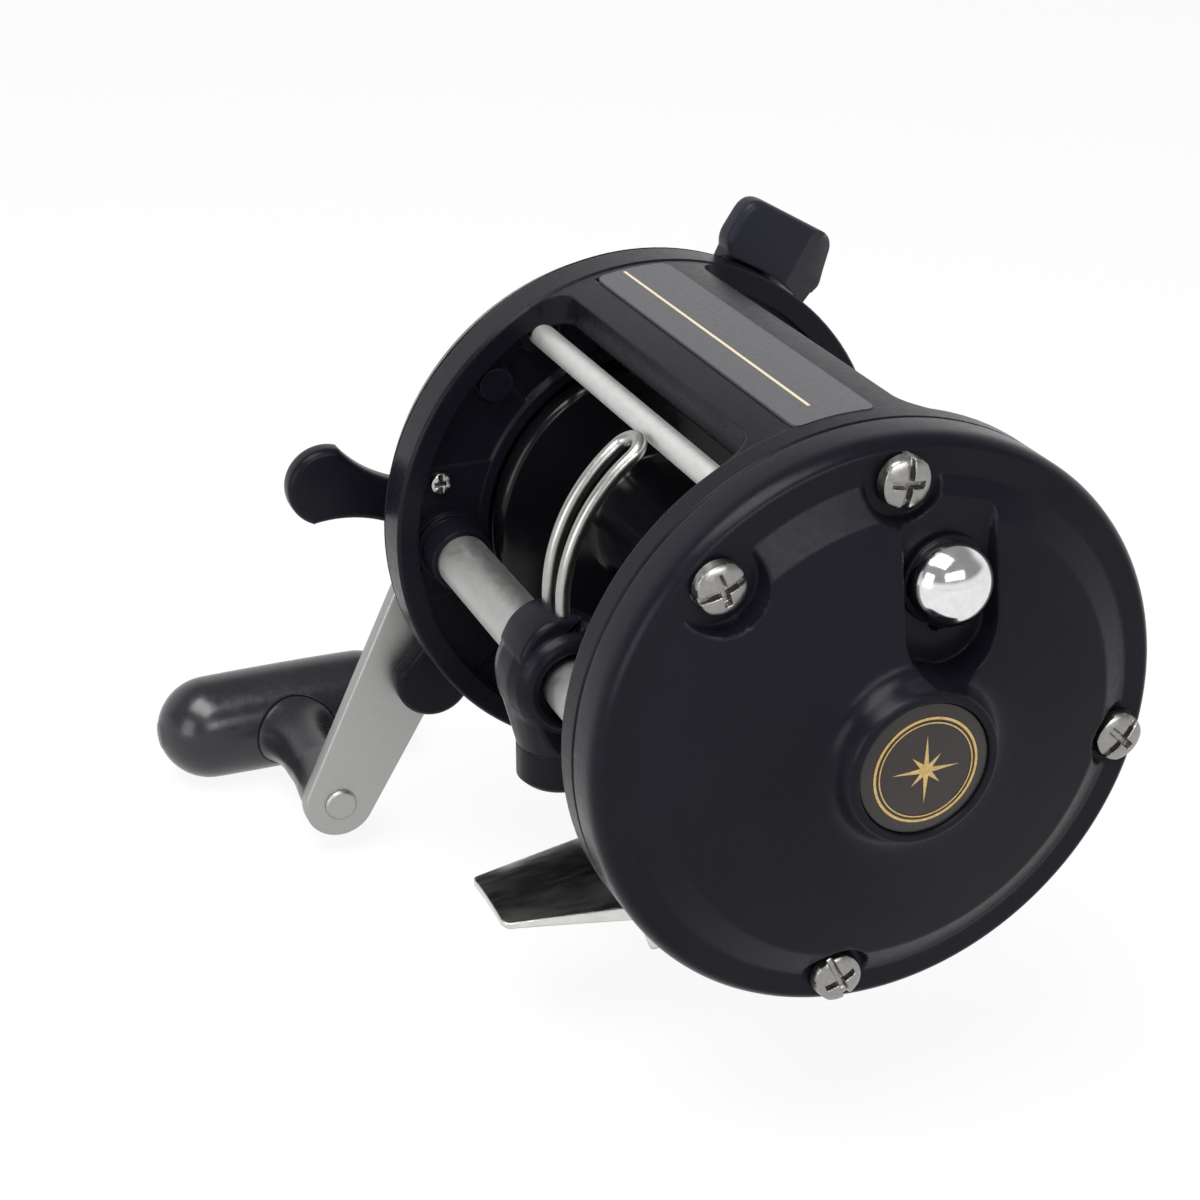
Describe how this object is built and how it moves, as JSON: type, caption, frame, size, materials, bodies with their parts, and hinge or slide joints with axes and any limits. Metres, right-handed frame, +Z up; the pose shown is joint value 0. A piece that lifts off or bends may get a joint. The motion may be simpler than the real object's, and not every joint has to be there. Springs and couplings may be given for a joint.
{
  "type": "trolling reel",
  "caption": "Level-wind trolling reel with a one-piece frame, gear-driven line guide, star drag, free-spool lever, click button and a crank handle with a T-shaped grip.",
  "frame": {"origin": "On the axis of the rod's reel seat, midway between the two frame rings and midway along the foot.", "axes": "+X along the spool axis towards the handle, +Y along the rod towards its tip and the line guide, +Z up from the rod to the reel."},
  "size_m": [0.1541, 0.1072, 0.1083],
  "materials": {
    "black_composite": "matte moulded graphite composite",
    "spool_black": "glossy black",
    "satin_aluminium": "satin",
    "stainless": "polished stainless",
    "bright_chrome": "polished",
    "bearing_brass": "turned",
    "label_grey": "satin metallic grey with a gold line",
    "medallion_bronze": "dark bronze enamel with gold rings",
    "grip_black": "satin gloss",
    "gear_nylon": "moulded",
    "drag_fibre": "fibre"
  },
  "bodies": {
    "reel_frame": {"frame": "black_composite", "left_side_plate": "black_composite", "right_side_plate": "black_composite", "label_plate": "label_grey", "medallion": "medallion_bronze", "left_plate_screws": "stainless", "right_plate_screws": "stainless", "reel_foot": "bright_chrome", "foot_screws": "stainless", "crossbar": "satin_aluminium", "level_wind_tube": "satin_aluminium", "tube_screw": "stainless", "worm_bushes": "bearing_brass", "bridge_plate": "stainless", "bridge_screws": "stainless", "left_spool_bearing": "stainless", "right_spool_bush": "bearing_brass", "drive_bush": "bearing_brass", "idler_pin": "stainless", "yoke_posts": "stainless", "yoke_springs": "stainless", "dog_pin": "stainless"},
    "line_spool": {"spool": "spool_black", "spool_shaft": "stainless", "take_off_gear": "gear_nylon", "click_ratchet": "bearing_brass"},
    "idler": {"idler_gear": "gear_nylon"},
    "worm": {"worm_shaft": "stainless", "worm_gear": "gear_nylon"},
    "line_guide": {"guide_carriage": "black_composite", "guide_wires": "stainless", "guide_pawl": "stainless", "pawl_cap": "black_composite"},
    "crank": {"drive_shaft": "stainless", "drive_gear": "bearing_brass", "drag_washers": "drag_fibre", "drive_ratchet": "stainless", "handle_arm": "satin_aluminium", "handle_nut": "stainless", "nut_retainer": "satin_aluminium", "retainer_screw": "stainless", "grip_rivet": "satin_aluminium"},
    "grip": {"handle_grip": "grip_black"},
    "star": {"star_drag": "black_composite"},
    "clutch": {"clutch_lever": "black_composite", "clutch_jack": "stainless"},
    "yoke": {"clutch_yoke": "stainless"},
    "pinion_wheel": {"pinion": "bearing_brass"},
    "clicker": {"click_button": "bright_chrome", "click_tongue": "stainless"},
    "dog": {"anti_reverse_dog": "stainless"}
  },
  "joints": [
    {"name": "handle_crank", "type": "hinge", "parent": "reel_frame", "child": "crank", "pos_m": [0.057, 0.01913, 0.04835], "axis": [1, 0, 0], "continuous": true},
    {"name": "grip_spin", "type": "hinge", "parent": "crank", "child": "grip", "pos_m": [0.06, 0.04471, 0.00023], "axis": [1, 0, 0], "continuous": true},
    {"name": "star_turn", "type": "hinge", "parent": "crank", "child": "star", "pos_m": [0.052, 0.01913, 0.04835], "axis": [1, 0, 0], "range_deg": [-180, 180]},
    {"name": "spool_spin", "type": "hinge", "parent": "reel_frame", "child": "line_spool", "pos_m": [0, 0, 0.0542], "axis": [1, 0, 0], "continuous": true},
    {"name": "idler_spin", "type": "hinge", "parent": "reel_frame", "child": "idler", "pos_m": [-0.04, 0.02078, 0.05333], "axis": [1, 0, 0], "continuous": true},
    {"name": "worm_spin", "type": "hinge", "parent": "reel_frame", "child": "worm", "pos_m": [0, 0.03117, 0.05289], "axis": [1, 0, 0], "continuous": true},
    {"name": "guide_slide", "type": "slide", "parent": "reel_frame", "child": "line_guide", "axis": [1, 0, 0], "range_m": [-0.012, 0.032]},
    {"name": "clutch_throw", "type": "hinge", "parent": "reel_frame", "child": "clutch", "pos_m": [0.048, -0.01865, 0.0693], "axis": [1, 0, 0], "range_deg": [0, 35]},
    {"name": "yoke_slide", "type": "slide", "parent": "reel_frame", "child": "yoke", "axis": [1, 0, 0], "range_m": [0, 0.0015], "deforming": ["yoke_springs"]},
    {"name": "pinion_spin", "type": "hinge", "parent": "yoke", "child": "pinion_wheel", "pos_m": [0.04, 0, 0.0542], "axis": [1, 0, 0], "continuous": true},
    {"name": "click_slide", "type": "slide", "parent": "reel_frame", "child": "clicker", "axis": [0, 0, -1], "range_m": [0, 0.0055]},
    {"name": "dog_swing", "type": "hinge", "parent": "reel_frame", "child": "dog", "pos_m": [0.0395, 0.02288, 0.03435], "axis": [1, 0, 0], "range_deg": [-12, 0]}
  ],
  "couplings": [
    {"joint": "spool_spin", "follows": "handle_crank", "ratio": -3.5455},
    {"joint": "pinion_spin", "follows": "handle_crank", "ratio": -3.5455},
    {"joint": "idler_spin", "follows": "handle_crank", "ratio": 1.3062},
    {"joint": "worm_spin", "follows": "handle_crank", "ratio": -1.5239},
    {"joint": "yoke_slide", "follows": "clutch_throw", "m_per_rad": 0.002455}
  ]
}
